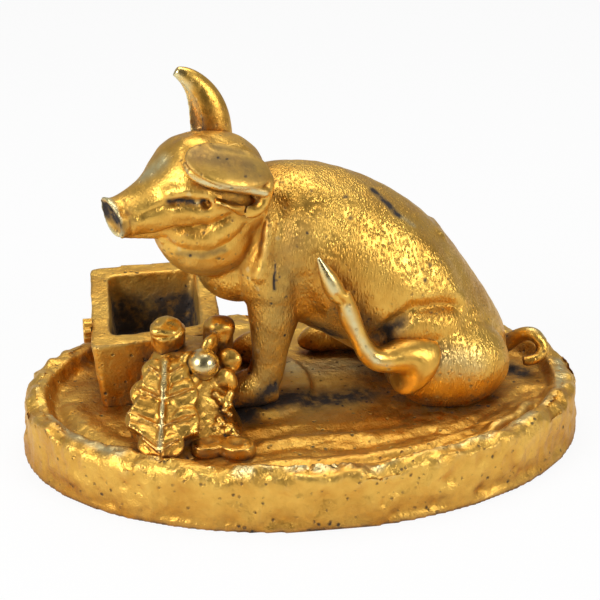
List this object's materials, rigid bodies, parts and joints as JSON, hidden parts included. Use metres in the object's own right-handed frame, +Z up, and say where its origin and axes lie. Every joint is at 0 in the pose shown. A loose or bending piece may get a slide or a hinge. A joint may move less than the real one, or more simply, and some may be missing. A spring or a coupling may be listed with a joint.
{
  "type": "still bank",
  "caption": "Still bank cast as a pig scratching itself beside a trough on an oval ground; coins go in at the back and out through a trap underneath.",
  "frame": {"origin": "middle of the base's underside, on the surface that the bank stands on", "axes": "+Z up, +X from the snout end towards the tail end along the base's long axis, -Y towards the viewer's side"},
  "size_m": [0.13, 0.09, 0.0871],
  "materials": {
    "gilt_body": "gilded casting with punched hair, dark in the hollows",
    "gilt_base": "gilded casting, rocky and matt, dark in the hollows",
    "gilt_trough": "gilded casting with pitted walls",
    "gilt_greens": "gilded casting, chased leaves",
    "worn_gilt": "gilding worn through to pale brass on the edges",
    "polished_brass": "polished pale brass",
    "screw_steel": "old steel, dulled",
    "trap_plate": "dull brass sheet",
    "spring_steel": "spring steel"
  },
  "bodies": {
    "bank": {"base_casting": "gilt_base", "body_half_near": "gilt_body", "body_half_far": "gilt_body", "head_casting": "gilt_body", "ear_upright": "gilt_body", "ear_folded": "worn_gilt", "hind_leg_raised": "worn_gilt", "tail_curl": "gilt_body", "trough_casting": "gilt_trough", "trough_knob": "gilt_trough", "leaf_sheaf": "gilt_greens", "cut_stalks": "gilt_greens", "fruit_ball": "polished_brass", "seed_pods": "gilt_greens", "body_screw": "screw_steel", "shell_dowels": "screw_steel", "seat_screws": "screw_steel", "trough_screws": "screw_steel", "trap_washer": "spring_steel", "trap_screw": "screw_steel"},
    "trap": {"coin_trap": "trap_plate"}
  },
  "joints": [
    {"name": "trap_swing", "type": "hinge", "parent": "bank", "child": "trap", "pos_m": [0.016, 0.004, 0.005], "axis": [0, 0, -1], "range_deg": [0, 100]}
  ]
}
